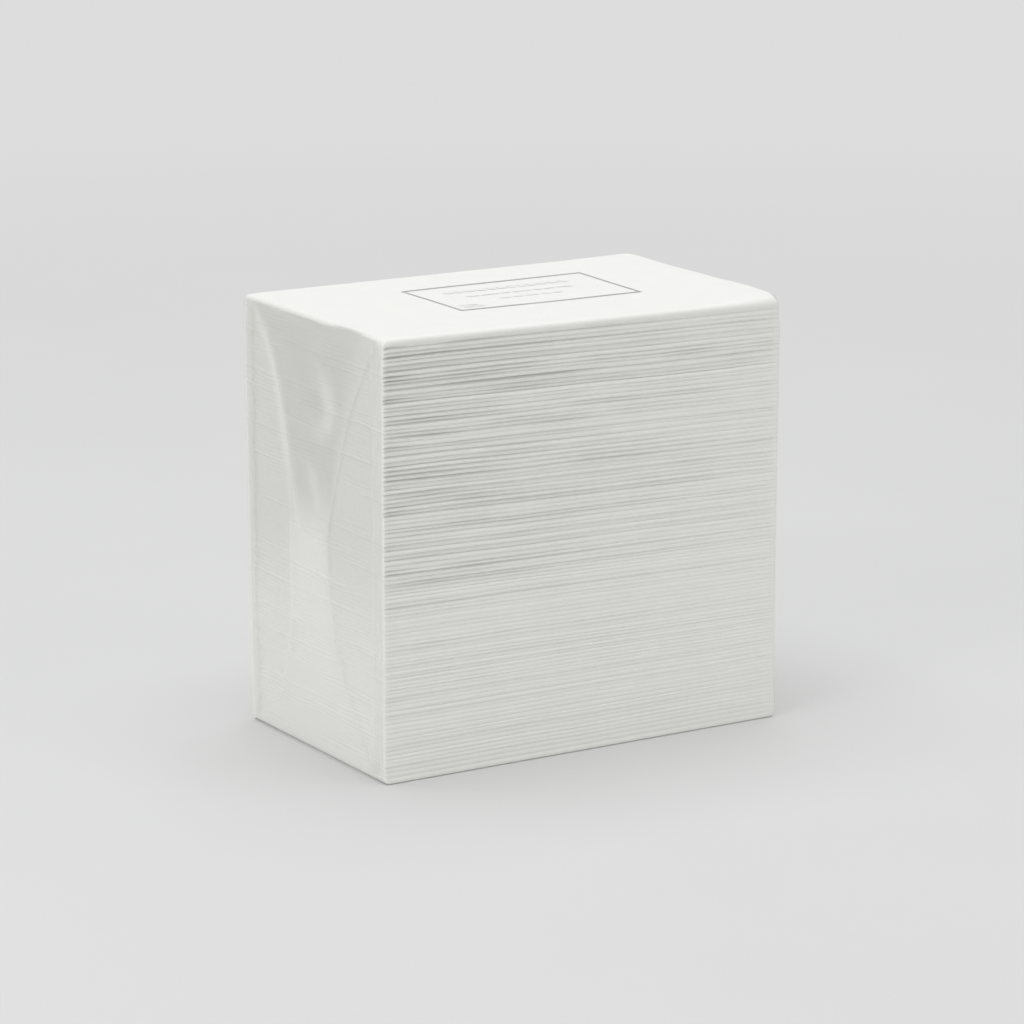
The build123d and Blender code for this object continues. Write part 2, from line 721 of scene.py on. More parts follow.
@dataclass
class TowelStack:
    """The towels, folded once and laid zigzag, so that front and back are rows of folds. Millimetres."""

    half_width: float = 104.5
    half_depth: float = 62.4
    low: float = 0.12
    high: float = 200.05
    corner: float = 0.4
    folds: int = 100
    fold_steps: tuple[float, ...] = (0.0, 0.08, 0.25, 0.5, 0.75, 0.92)
    fold_power: float = 1.8
    thickness_spread: float = 0.16
    base_fold: float = 1.4
    top_fold: float = 2.1
    crease: float = 1.45
    crease_range: Point = (0.55, 1.25)
    crease_drift: float = 0.45
    loose_share: float = 0.16
    loose_from: float = 0.4
    loose_crease: float = 1.6
    setback: float = 0.60
    setback_share: float = 0.24
    setback_deep: Point = (0.8, 1.9)
    setback_slight: Point = (0.0, 0.45)
    slack_at: tuple[float, ...] = (0.0, 0.38, 0.52, 0.62, 0.75, 0.95)
    slack_up: tuple[float, ...] = (0.40, 0.50, 0.98, 1.20, 1.27, 1.55)
    slack_loss: float = 0.66
    tight_right: Point = (4.5, 0.05)
    tight_front: Point = (2.0, 0.35)
    tight_back: Point = (6.0, 0.12)
    sink_at: tuple[float, ...] = (0.0, 0.15, 0.4, 0.7, 0.96, 1.0)
    sink: tuple[float, ...] = (0.0, 1.2, 3.4, 3.2, 0.8, 0.0)
    waver: float = 0.28
    end_groove: float = 0.09
    end_proud: float = 0.30
    proud_share: float = 0.26
    proud_range: Point = (0.5, 1.0)
    end_sway: float = 0.20
    end_wave: float = 1.1
    end_zone: float = 2.5
    end_ramp: float = 6.0
    end_band: float = 2.5
    patch_limit: float = 1.2
    proud_at: Point = (0.12, 0.38)
    proud_up: Point = (0.25, 1.0)
    top_relief: float = 0.12
    top_margin: float = 4.0
    top_ramp: float = 12.0
    seed: int = 11
    rounding: Rounding = Rounding(top_x=2.2, top_y=1.7, base_x=2.5, base_y=0.7)

    @property
    def loop(self) -> WrapLoop:
        """The stack's outline from above: cut square, so its corners are sharp."""
        return WrapLoop(self.half_width, self.half_depth, self.corner, along=38, across=22)

    def slack(self, along: Array, across: Array, up: Array) -> Array:
        """How loose the folds lie: most at the top left, least at the bottom right and at the corners.

        Args:
            along: places along the front, from 0 to 1.
            across: places from the front to the back, from 0 to 1.
            up: heights, from 0 to 1.

        Returns:
            The share of the full crease depth.
        """
        def tight(distance: Array, zone: Point) -> Array:
            """Share of slack near a corner, by the width of the tight zone and the least share in it."""
            return np.clip(distance / zone[0], zone[1], 1.0)

        rise = np.interp(up, self.slack_at, self.slack_up)
        right = tight((1.0 - along) * 2.0 * self.half_width, self.tight_right)
        from_left = along * 2.0 * self.half_width
        left = np.where(across > 0.5, tight(from_left, self.tight_back), tight(from_left, self.tight_front))
        return rise * (1.0 - self.slack_loss * along) * right * left

    def lean(self, along: Array, across: Array, up: Array) -> Array:
        """How far the front folds sink towards the right, where they are packed more tightly.

        Args:
            along: places along the front, from 0 to 1.
            across: places from the front to the back, from 0 to 1.
            up: heights, from 0 to 1.

        Returns:
            The distances down.
        """
        return np.interp(up, self.sink_at, self.sink) * along * (1.0 - across)

    def crown(self, x: Array, y: Array) -> Array:
        """Soft unevenness of the top towel.

        Args:
            x: places along the stack.
            y: places across it.

        Returns:
            The rise over a flat top.
        """
        edge = np.minimum(self.half_width - np.abs(x), self.half_depth - np.abs(y))
        field = Drift(self.seed + 7, 7, 4).at(share_of(x, self.half_width), share_of(y, self.half_depth))
        return self.top_relief * field * unit((edge - self.top_margin) / self.top_ramp)

    def heights(self, rng: np.random.Generator, fold: Array, part: Array) -> Array:
        """Sets out the rows of folds of uneven thickness.

        Args:
            rng: where the thicknesses are drawn from.
            fold: each row's fold, counted from the base.
            part: each row's place in its fold, from 0 to 1.

        Returns:
            The heights.
        """
        thick = 1.0 + self.thickness_spread * rng.standard_normal(self.folds).clip(-2.0, 2.0)
        thick[0], thick[-1] = self.base_fold, self.top_fold
        levels = self.low + (self.high - self.low) * np.append(0.0, np.cumsum(thick) / thick.sum())
        return levels[fold] + part * (levels[fold + 1] - levels[fold])

    def crease_depths(self, rng: np.random.Generator, fold: Array, part: Array, shape: Array,
                      uneven: Array) -> Array:
        """How deep the folds' faces lie: creases between folds, some of them loose, and folds set back.

        Args:
            rng: where the depths are drawn from.
            fold: each row's fold, counted from the base.
            part: each row's place in its fold, from 0 to 1.
            shape: the share of the crease at each row.
            uneven: how the creases vary along the stack.

        Returns:
            The depths.
        """
        nearest = fold + (part >= 0.5)
        loose = rng.random(self.folds + 1) < self.loose_share
        loose = loose & (np.arange(self.folds + 1) > self.loose_from * self.folds)
        gap = np.where(loose, self.loose_crease, 1.0) * rng.uniform(*self.crease_range, self.folds + 1)
        chosen = rng.random(self.folds) < self.setback_share
        deep, slight = (rng.uniform(*span, self.folds) for span in (self.setback_deep, self.setback_slight))
        lift = np.where(chosen, deep, slight)
        lift[0] = lift[-1] = 0.0
        below = np.maximum(lift[np.maximum(fold - 1, 0)], lift[fold])
        set_in = np.where(part == 0.0, below, lift[fold])
        return self.setback * set_in + self.crease * gap[nearest] * shape * uneven

    def cut_depths(self, rng: np.random.Generator, fold: Array, shape: Array, up: Array, across: Array,
                   middle: Array) -> Array:
        """How deep the cut edges lie: some folds stand proud in patches, and the whole end sways.

        Args:
            rng: where the proud folds are drawn from.
            fold: each row's fold, counted from the base.
            shape: the share of the crease at each row.
            up: heights, from 0 to 1.
            across: places from the front to the back, from 0 to 1.
            middle: 1 over the middle of the end, and 0 at its front and back edges.

        Returns:
            The depths.
        """
        chosen = rng.random(self.folds) < self.proud_share
        proud = np.where(chosen, rng.uniform(*self.proud_range, self.folds), 0.0)[fold]
        proud = proud * np.interp(up, self.proud_at, self.proud_up)
        sway = self.end_sway * middle * (1.0 + Drift(self.seed + 2, 9, 3).at(up, across))
        patchy = np.clip(0.5 + Drift(self.seed + 5, 50, 5).at(up, across), 0.0, self.patch_limit)
        stands = self.end_proud * (1.0 - proud * patchy * (1.0 - shape))
        return stands + self.end_groove * shape * patchy + sway

    def rows(self) -> Array:
        """Places every row of the folds round the stack.

        Returns:
            The points, by row from the base up, then by column.
        """
        rng = np.random.default_rng(self.seed)
        x, y, out_x = (a[None] for a in self.loop.columns())
        along, across = share_of(x, self.half_width), share_of(y, self.half_depth)
        steps = np.array(self.fold_steps)
        fold = np.append(np.repeat(np.arange(self.folds), len(steps)), self.folds - 1)[:, None]
        part = np.append(np.tile(steps, self.folds), 1.0)[:, None]
        z = self.heights(rng, fold, part)
        up = (z - self.low) / (self.high - self.low)

        shape = np.abs(2.0 * part - 1.0) ** self.fold_power
        plain = (fold == self.folds - 1) & (part > 0.5) | (fold == 0) & (part < 0.9)
        shape = np.where(plain, 0.0, shape)
        uneven = 1.0 + self.crease_drift * Drift(self.seed + 1, 60, 9).at(up, along)
        folded = self.slack(along, across, up) * self.crease_depths(rng, fold, part, shape, uneven)
        middle = unit((1.0 - np.abs(y) / self.half_depth) * self.end_ramp)
        cut = self.cut_depths(rng, fold, shape, up, across, middle)

        from_end = np.minimum(up, 1.0 - up) * self.folds
        flat = unit(from_end / 0.5)
        wander = self.waver * Drift(self.seed + 3, 22, 6).at(up, along)
        shear = 0.5 * (self.high - self.low) / self.folds * across
        wavy = self.end_wave * Drift(self.seed + 4, 24, 6).at(up, across) * out_x ** 2 * middle
        z = z + unit(from_end / self.end_zone) * (wander + shear + wavy) - self.lean(along, across, up)
        draw_x, draw_y = self.rounding.inset(y, z.clip(self.low, self.high), self.low, self.high)
        return np.stack([x * (1.0 - (draw_x + flat * cut) / self.half_width),
                         y * (1.0 - (draw_y + flat * folded) / self.half_depth), z + 0.0 * x], -1)

    def build(self) -> bpy.types.Object:
        """Builds the stack and gives its two cut ends their own finish.

        Returns:
            The piece.
        """
        finishes = (TowelPaper().material(), CutEdges().material())
        stack = new_piece("towels", self.loop.skin(self.rows(), self.crown), finishes)
        normals, middles = np.abs(face_vectors(stack, "normal")), np.abs(face_vectors(stack, "center"))
        at_end = middles[:, 0] > (self.half_width - self.end_band) * MM
        facing = normals[:, 1] < normals[:, 0]
        stack.data.polygons.foreach_set("material_index", (at_end & facing).astype(np.int32))
        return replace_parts(stack, "towel_stack")


# Film


@dataclass
class FilmSleeve:
    """The clear film drawn round the stack, in one closed skin. Millimetres."""

    stack: TowelStack
    half_width: float = 105.38
    half_depth: float = 62.74
    low: float = 0.07
    high: float = 200.17
    corner: float = 2.4
    row_count: int = 120
    row_crowding: float = 1.5
    end_slack: float = 0.30
    end_hug: float = 0.10
    end_facing: float = 0.8
    slack_ramp: float = 12.0
    slack_top: float = 6.0
    tension: float = 0.03
    top_margin: float = 4.0
    top_ramp: float = 10.0
    lap_width: float = 24.0
    lap_thickness: float = 0.06
    lap_waver: float = 0.6
    lap_inset: float = 0.5
    lap_rows: int = 60
    lap_columns: int = 7
    seed: int = 41
    rounding: Rounding = Rounding(top_x=2.7, top_y=2.1, base_x=2.8, base_y=1.0)

    @property
    def loop(self) -> WrapLoop:
        """The film's outline from above."""
        return WrapLoop(self.half_width, self.half_depth, self.corner, along=60, across=72, corner_steps=4)

    def slackness(self, y: Array, z: Array) -> Array:
        """How far the film stands off the end of the stack.

        Args:
            y: places across the end.
            z: heights.

        Returns:
            The distance past the film's own width.
        """
        edge = unit((self.half_depth - np.abs(y)) / self.slack_ramp)
        field = Drift(self.seed, 4, 9).at(share_of(y, self.half_depth), z / self.high)
        return self.end_slack * field * edge - self.end_hug

    def reach(self, y: Array, z: Array) -> Array:
        """The film's distance from the middle of the pack, on an end.

        Args:
            y: places across the end.
            z: heights.

        Returns:
            The distances along X.
        """
        draw_x, _ = self.rounding.inset(y, np.clip(z, self.low, self.high), self.low, self.high)
        return self.half_width - draw_x + self.slackness(y, z)

    def crown(self, x: Array, y: Array) -> Array:
        """Soft tension lines of the film, which lies close on the top towel.

        Args:
            x: places along the pack.
            y: places across it.

        Returns:
            The rise over a flat top.
        """
        edge = np.minimum(self.half_width - np.abs(x), self.half_depth - np.abs(y))
        lines = Drift(self.seed + 1, 14, 5).at(share_of(x, self.half_width), share_of(y, self.half_depth))
        return self.stack.crown(x, y) + self.tension * lines * unit((edge - self.top_margin) / self.top_ramp)

    def build(self, painted_shade: Callable[[Array, Array, Array], Array]) -> bpy.types.Object:
        """Builds the sleeve, with duller film over its ends, where its grey tone is painted shade.

        Args:
            painted_shade: how dull the film is at places in X, Y and Z, from 0 to 1.

        Returns:
            The piece.
        """
        x, y, out_x = (a[None] for a in self.loop.columns())
        turn = np.linspace(-1.0, 1.0, self.row_count)
        share = 0.5 + 0.5 * np.sign(turn) * (1.0 - (1.0 - np.abs(turn)) ** self.row_crowding)
        z = (self.low + (self.high - self.low) * share)[:, None]
        draw_x, draw_y = self.rounding.inset(y, z, self.low, self.high)
        out = out_x ** 4 * self.slackness(y, z) * unit((self.high - z) / self.slack_top)
        rows = np.stack([x * (1.0 - draw_x / self.half_width) + np.sign(out_x) * out,
                         y * (1.0 - draw_y / self.half_depth) + 0.0 * z, z + 0.0 * x], -1)
        skin = self.loop.skin(rows, self.crown)
        film = PackFilm("clear_film", haze=0.05, clear=(0.94, 0.95, 0.94)).material()
        # The end film's dull grey is painted shade, laid on by each end's tone.
        shaded_end_film = PackFilm("shaded_end_film", haze=0.16, dull=(0.42, 0.43, 0.41)).material()
        sleeve = new_piece("film_sleeve", skin, (film, shaded_end_film), painted_shade(*skin[0].T))
        at_end = np.abs(face_vectors(sleeve, "normal")[:, 0]) > self.end_facing
        sleeve.data.polygons.foreach_set("material_index", at_end.astype(np.int32))
        self.build_lap(film)
        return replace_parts(sleeve, "film_wrap")

    def build_lap(self, film: bpy.types.Material) -> bpy.types.Object:
        """Builds the welded lap of the film along the base.

        Args:
            film: the film's material.

        Returns:
            The piece.
        """
        reach = self.half_width - self.rounding.base_x - self.lap_inset
        along, over = np.linspace(-reach, reach, self.lap_rows), np.linspace(-0.5, 0.5, self.lap_columns)
        x, y = np.meshgrid(along, over, indexing="ij")
        y = self.lap_width * y + self.lap_waver * Drift(self.seed + 2, 9, 1).at(share_of(x, reach), 0.0 * x)
        upper = np.stack([x, y, 0.0 * x + self.lap_thickness], -1)
        lower = np.stack([x, y, 0.0 * x], -1)
        return new_piece("film_lap", thin_sheet(upper, lower), (film,))


class End(Enum):
    """The two ends of the pack, by the sign of X."""

    LEFT = -1
    RIGHT = 1


@dataclass(frozen=True)
class Flap:
    """A trapezoid of film folded over an end. Its two side edges run from the pack's edge to its tip."""

    name: str
    front: tuple[Point, ...]
    back: tuple[Point, ...]
    lift: float
    gather: float
    feather: float
    finish: PackFilm


@dataclass(frozen=True)
class Crease:
    """A soft fold or pinch in the film, whose highlight is painted as a pale line, by places across the end
    and heights.
    """

    path: tuple[Point, ...]
    width: float
    strength: float
    steps: int = 48
    taper: float = 0.7

    def at(self, y: Array, z: Array) -> Array:
        """How much of the crease there is at places on the end.

        Args:
            y: places across the end.
            z: heights.

        Returns:
            The shares, from 0 to the crease's strength, fading towards its sides and its two ends.
        """
        line = even_path(self.path, self.steps)
        far = np.hypot(np.asarray(y)[..., None] - line[:, 0], np.asarray(z)[..., None] - line[:, 1])
        ends = np.sin(math.pi * np.linspace(0.05, 0.95, self.steps)) ** self.taper
        return self.strength * (ends * np.exp(-(2.0 * far / self.width) ** 2)).max(-1)


@dataclass
class EnvelopeFold:
    """The film's envelope fold over one end. Millimetres."""

    end: End
    sleeve: FilmSleeve
    flaps: tuple[Flap, ...]
    edges: tuple[Crease, ...]
    pinches: tuple[Crease, ...]
    flap_rows: int = 72
    flap_columns: int = 48
    flap_gap: float = 0.02
    flap_narrowing: float = 0.8
    feather_least: float = 0.02
    base_clear: float = 0.1
    top_clear: float = 0.12
    pleats: float = 2.6
    pleat_drift: float = 0.35
    pleat_share: float = 0.65
    slack_share: float = 0.35
    tip_fade: float = 0.22
    tone_mean: float = 0.86
    tone_drift: float = 0.14
    pinch_height: float = 0.12
    # Share of painted highlight along the pinches in the film over the end.
    pinch_highlight: float = 0.45
    corner_width: float = 6.5
    corner_clear: float = 4.0
    corner_ragged: float = 0.18
    corner_lift: float = 0.10
    corner_fade: float = 14.0
    corner_inset: float = 0.2
    corner_rows: int = 60
    corner_columns: int = 6
    # Painted shade by height: the film over the end is greyed most near the top.
    shade_heights: tuple[float, ...] = (0.0, 20.0, 60.0, 100.0, 150.0, 200.0)
    shade_by_height: tuple[float, ...] = (0.35, 0.25, 0.42, 0.95, 1.0, 1.0)
    edge_tone: float = 0.4
    under_clear: float = 0.9
    under_above: float = 17.0
    under_fade: float = 22.0
    under_soft_at: Point = (20.0, 60.0)
    under_soft: Point = (16.0, 7.0)
    seed: int = 71

    @property
    def side(self) -> str:
        """The end's name in a piece's name."""
        return self.end.name.lower()

    def on_end(self, place: Array, lift: Array | float) -> Array:
        """Lays places on the film's end.

        Args:
            place: places across the end and heights, last in the array.
            lift: how far over the sleeve they lie.

        Returns:
            The points.
        """
        y, z = place[..., 0], np.clip(place[..., 1], self.base_clear, self.sleeve.high - self.top_clear)
        return np.stack([self.end.value * (self.sleeve.reach(y, z) + lift), y, z], -1)

    def lay(self, place: Array, lift: Array | float) -> Skin:
        """Lays a sheet of film on the end, facing outward.

        Args:
            place: places across the end and heights, by row and column.
            lift: how far over the sleeve the sheet lies.

        Returns:
            The vertices and the faces.
        """
        vertices, faces = open_sheet(self.on_end(place, lift))
        a, b, c = (vertices[index] for index in faces[0][:3])
        outward = np.cross(b - a, c - a)[0] * self.end.value > 0.0
        return vertices, faces if outward else [face[::-1] for face in faces]

    def pinched(self, y: Array, z: Array) -> Array:
        """How much the film is pinched at places across the end and heights."""
        return sum(crease.at(y, z) for crease in self.pinches)

    def build_flap(self, flap: Flap) -> bpy.types.Object:
        """Builds one flap, gathered into soft pleats towards its tip.

        Args:
            flap: the flap.

        Returns:
            The piece.
        """
        front, back = even_path(flap.front, self.flap_rows), even_path(flap.back, self.flap_rows)
        s = np.linspace(0.0, 1.0, self.flap_columns)[None]
        t = np.linspace(0.0, 1.0, self.flap_rows)[:, None]
        place = front[:, None] * (1.0 - s[..., None]) + back[:, None] * s[..., None]
        pleat = np.sin(math.tau * (self.pleats * s + self.pleat_drift * Drift(self.seed, 6, 3).at(t, s)))
        slack = Drift(self.seed + 1, 7, 5).at(t, s)
        puff = 0.5 + 0.5 * (self.pleat_share * pleat * t + self.slack_share * slack)
        lift = flap.lift * (0.5 + 0.5 * t) + self.flap_gap
        lift = lift + flap.gather * puff * np.sin(math.pi * s) ** 2
        pinch = unit(self.pinched(place[..., 0], place[..., 1]))
        skin = self.lay(place, lift + self.pinch_height * pinch)
        feather = np.maximum(flap.feather * (1.0 - self.flap_narrowing * t), self.feather_least)
        fade = unit(s / feather)
        tip = unit((1.0 - t) / self.tip_fade)
        mottle = self.tone_mean + self.tone_drift * Drift(self.seed + 2, 9, 6).at(t, s)
        # Along the pinches the flap is left clear: a painted highlight over their real relief.
        tone = ease(fade) * ease(tip) * mottle * (1.0 - pinch)
        name = f"film_{flap.name}_{self.side}"
        return new_piece(name, skin, (flap.finish.material(),), tone)

    def build_corners(self, finish: PackFilm) -> bpy.types.Object:
        """Builds the strips where the film turns the pack's upright edges and is doubled.

        Args:
            finish: the film where it is doubled.

        Returns:
            The piece.
        """
        high = self.sleeve.high
        start = self.sleeve.half_depth - self.sleeve.corner - self.corner_inset
        z = np.linspace(self.corner_clear, high - self.corner_clear, self.corner_rows)[:, None]
        over = np.linspace(0.0, 1.0, self.corner_columns)[None]
        inside = unit(np.minimum(z, high - z) / self.corner_fade)
        tone = (1.0 - (1.0 - over) * inside).ravel()
        strips = []
        for edge in (-1.0, 1.0):
            drift = Drift(self.seed + 3 + int(edge), 12, 1).at(z / high, 0.0 * z)
            width = self.corner_width * (1.0 + self.corner_ragged * drift)
            place = np.stack([edge * (start - width * over), z + 0.0 * over], -1)
            strips.append(self.lay(place, self.corner_lift))
        tones = np.tile(tone, len(strips))
        return new_piece(f"film_corners_{self.side}", join(strips), (finish.material(),), tones)

    def painted_shade(self, y: Array, z: Array) -> Array:
        """Paints shade into the film over this end: darker towards the top, where less light comes up from
        the floor, and least under the lower flap and at the edges.

        Args:
            y: places across the end.
            z: heights.

        Returns:
            The tones, from 0 to 1.
        """
        # Painted shade, greyer towards the top.
        tone = np.interp(z, self.shade_heights, self.shade_by_height)
        edge = unit((self.sleeve.half_depth - np.abs(y)) / self.corner_width) ** 2
        lower = self.flaps[-1]
        front = np.interp(z, *np.array(lower.front).T[::-1])
        back = np.interp(z, *np.array(lower.back).T[::-1])
        soft = np.interp(z, self.under_soft_at, self.under_soft)
        under = unit((y - front) / soft) * unit((back - y) / soft)
        under = under * unit((lower.front[-1][1] + self.under_above - z) / self.under_fade)
        # Painted highlights: the fold lines and pinches clear the grey film in pale lines.
        folds = sum(crease.at(y, z) for crease in self.edges)
        pale = unit(folds + self.pinch_highlight * self.pinched(y, z))
        edge_share = self.edge_tone + (1.0 - self.edge_tone) * edge
        return tone * edge_share * (1.0 - self.under_clear * under) * (1.0 - pale)

    def build(self) -> None:
        """Builds the corner strips and the flaps."""
        self.build_corners(PackFilm(f"doubled_film_{self.side}", haze=0.20, dull=(0.86, 0.87, 0.85)))
        for flap in self.flaps:
            self.build_flap(flap)


def upper_flap(film: str, front: tuple[Point, ...], back: tuple[Point, ...]) -> Flap:
    """The flap folded down from the top of an end.

    Args:
        film: the name of its film.
        front: its front edge, from the pack's edge to its tip.
        back: its back edge.

    Returns:
        The flap.
    """
    finish = PackFilm(film, haze=0.20, dull=(0.64, 0.66, 0.63))
    return Flap("upper_flap", front, back, lift=0.07, gather=0.10, feather=0.30, finish=finish)


def lower_flap(film: str, front: tuple[Point, ...], back: tuple[Point, ...]) -> Flap:
    """The flap folded up from the base of an end, over the upper flap.

    Args:
        film: the name of its film.
        front: its front edge, from the pack's edge to its tip.
        back: its back edge.

    Returns:
        The flap.
    """
    finish = PackFilm(film, haze=0.13, dull=(0.97, 0.97, 0.96))
    return Flap("lower_flap", front, back, lift=0.20, gather=0.08, feather=0.1, finish=finish)


def left_end(sleeve: FilmSleeve) -> EnvelopeFold:
    """The envelope fold on the left end, which the photograph shows.

    Args:
        sleeve: the film that it belongs to.

    Returns:
        The fold.
    """
    upper = upper_flap(
        "upper_flap_film",
        ((-58.0, 198.6), (-47.0, 182.0), (-36.0, 164.0), (-26.0, 140.0), (-19.0, 120.0), (-15.0, 103.0)),
        ((52.0, 198.6), (41.0, 188.0), (31.6, 169.0), (25.0, 150.0), (18.8, 126.0), (14.5, 102.0)))
    lower = lower_flap(
        "lower_flap_film",
        ((-60.0, 1.2), (-42.0, 22.0), (-22.9, 50.9), (-16.5, 79.5), (-14.1, 104.0)),
        ((57.0, 1.2), (34.0, 20.0), (22.6, 51.0), (20.4, 78.0), (20.2, 104.0)))
    # Painted highlights along the flaps' folded back edges.
    edges = (
        Crease(((50.2, 196.1), (37.4, 177.5), (29.0, 158.3), (24.4, 136.0), (19.4, 113.9)), 5.0, 0.9),
        Crease(((20.8, 112.0), (20.9, 85.5), (20.8, 66.7), (22.4, 54.7), (28.2, 36.7)), 4.5, 0.8))
    # Pinches: real relief in the flaps, with painted highlights along them.
    pinches = (
        Crease(((-8.8, 177.5), (-13.0, 170.0), (-17.2, 161.0), (-14.0, 153.5), (-2.4, 148.5)), 9.5, 1.0),
        Crease(((3.5, 133.0), (-2.7, 123.6), (-8.4, 111.0)), 8.5, 0.9),
        Crease(((-11.6, 130.0), (-12.9, 117.0), (-12.6, 103.0)), 3.2, 0.8))
    return EnvelopeFold(End.LEFT, sleeve, (upper, lower), edges, pinches)


def right_end(sleeve: FilmSleeve) -> EnvelopeFold:
    """The envelope fold on the far end, folded the same way a little differently.

    Args:
        sleeve: the film that it belongs to.

    Returns:
        The fold.
    """
    upper = upper_flap(
        "upper_flap_film_far",
        ((-54.0, 198.6), (-46.0, 190.0), (-33.0, 171.0), (-24.0, 146.0), (-18.0, 122.0), (-15.0, 96.0)),
        ((57.0, 198.6), (40.0, 186.0), (27.0, 168.0), (21.0, 144.0), (17.5, 120.0), (15.5, 96.0)))
    lower = lower_flap(
        "lower_flap_film_far",
        ((-58.0, 1.2), (-38.0, 22.0), (-25.0, 50.0), (-21.5, 78.0), (-20.0, 103.0)),
        ((59.0, 1.2), (42.0, 20.0), (28.0, 48.0), (20.5, 76.0), (17.0, 103.0)))
    # Painted highlights along the flaps' folded back edges.
    edges = (
        Crease(((-50.0, 194.0), (-35.0, 173.0), (-26.0, 148.0), (-20.0, 126.0), (-17.5, 108.0)), 5.0, 0.9),
        Crease(((-20.5, 108.0), (-21.5, 88.0), (-23.0, 60.0), (-27.0, 42.0)), 4.5, 0.8))
    # Pinches: real relief in the flaps, with painted highlights along them.
    pinches = (
        Crease(((6.0, 174.0), (10.0, 161.0), (8.0, 148.0)), 9.0, 0.9),
        Crease(((-4.0, 132.0), (2.0, 116.0), (6.5, 106.0)), 7.5, 0.9),
        Crease(((13.0, 128.0), (14.0, 114.0), (13.0, 103.0)), 3.2, 0.8))
    return EnvelopeFold(End.RIGHT, sleeve, (upper, lower), edges, pinches, seed=83)


# Print


@dataclass(frozen=True)
class PrintRow:
    """A row of blank blocks that stands for a line of print, by places on the panel."""

    start: float
    end: float
    y: float
    height: float
    shortest: float
    longest: float
    gap: float


@dataclass
class PrintedPanel:
    """A plain printed frame with rows of blank blocks, on the film over the top. Millimetres."""

    sleeve: FilmSleeve
    centre: Point = (8.8, 6.2)
    width: float = 96.5
    depth: float = 52.5
    turn: float = math.radians(0.35)
    line: float = 1.7
    side_line: float = 1.15
    ink: float = 0.01
    gap: float = 0.02
    step: float = 2.5
    seed: int = 97
    faint: PrintInk = PrintInk("faint_ink", light=(0.82, 0.82, 0.82), dark=(0.78, 0.78, 0.78))
    rows: tuple[PrintRow, ...] = (
        PrintRow(-33.5, 34.5, 12.5, 4.0, 3.4, 4.4, 1.7), PrintRow(-28.5, 32.5, 1.7, 1.7, 4.0, 10.0, 1.6),
        PrintRow(-16.5, 21.5, -8.0, 2.0, 4.0, 9.0, 1.8), PrintRow(-43.0, -30.5, -15.7, 1.3, 3.0, 6.0, 1.2),
        PrintRow(-43.0, -32.0, -19.5, 1.3, 3.0, 6.0, 1.2))

    def blocks(self) -> list[tuple[float, float, float, float]]:
        """Sets out the blocks of every row.

        Returns:
            Each block's middle along and across the panel, its width and its depth.
        """
        rng = np.random.default_rng(self.seed)
        made = []
        for row in self.rows:
            x = row.start
            while x < row.end - row.shortest:
                width = min(rng.uniform(row.shortest, row.longest), row.end - x)
                made.append((x + width / 2, row.y, width, row.height))
                x += width + row.gap
        return made

    def strip(self, x: float, y: float, width: float, depth: float) -> Skin:
        """Makes one strip of ink that follows the film.

        Args:
            x: its middle along the panel.
            y: its middle across the panel.
            width: its size along the panel.
            depth: its size across the panel.

        Returns:
            The vertices and the faces.
        """
        m, n = (max(3, int(size / self.step) + 2) for size in (width, depth))
        u, v = np.meshgrid(np.linspace(-0.5, 0.5, m), np.linspace(-0.5, 0.5, n), indexing="ij")
        u, v = x + width * u, y + depth * v
        px = self.centre[0] + u * math.cos(self.turn) - v * math.sin(self.turn)
        py = self.centre[1] + u * math.sin(self.turn) + v * math.cos(self.turn)
        base = self.sleeve.high + self.sleeve.crown(px, py) + self.gap
        return thin_sheet(np.stack([px, py, base + self.ink], -1), np.stack([px, py, base], -1))

    def build(self) -> bpy.types.Object:
        """Builds the frame and its rows of blocks as one print.

        Returns:
            The piece.
        """
        half_w, half_d = (self.width - self.side_line) / 2, (self.depth - self.line) / 2
        inner = self.depth - 2 * self.line
        outline = [(0.0, half_d, self.width, self.line), (0.0, -half_d, self.width, self.line),
                   (-half_w, 0.0, self.side_line, inner), (half_w, 0.0, self.side_line, inner)]
        strips, inks = [], []
        for ink, places in enumerate((outline, self.blocks())):
            for place in places:
                strips.append(self.strip(*place))
                inks += [ink] * len(strips[-1][1])
        finishes = (PrintInk().material(), self.faint.material())
        panel = new_piece("printed_panel", join(strips), finishes)
        panel.data.polygons.foreach_set("material_index", np.array(inks, np.int32))
        panel.data.polygons.foreach_set("use_smooth", np.zeros(len(inks), bool))
        return panel


# Studio


@dataclass(frozen=True)
class Softbox:
    """A square lamp that faces the pack: its place, the length of its sides, its power and its colour."""

    name: str
    place: Vec3
    size: float
    watts: float
    colour: Colour


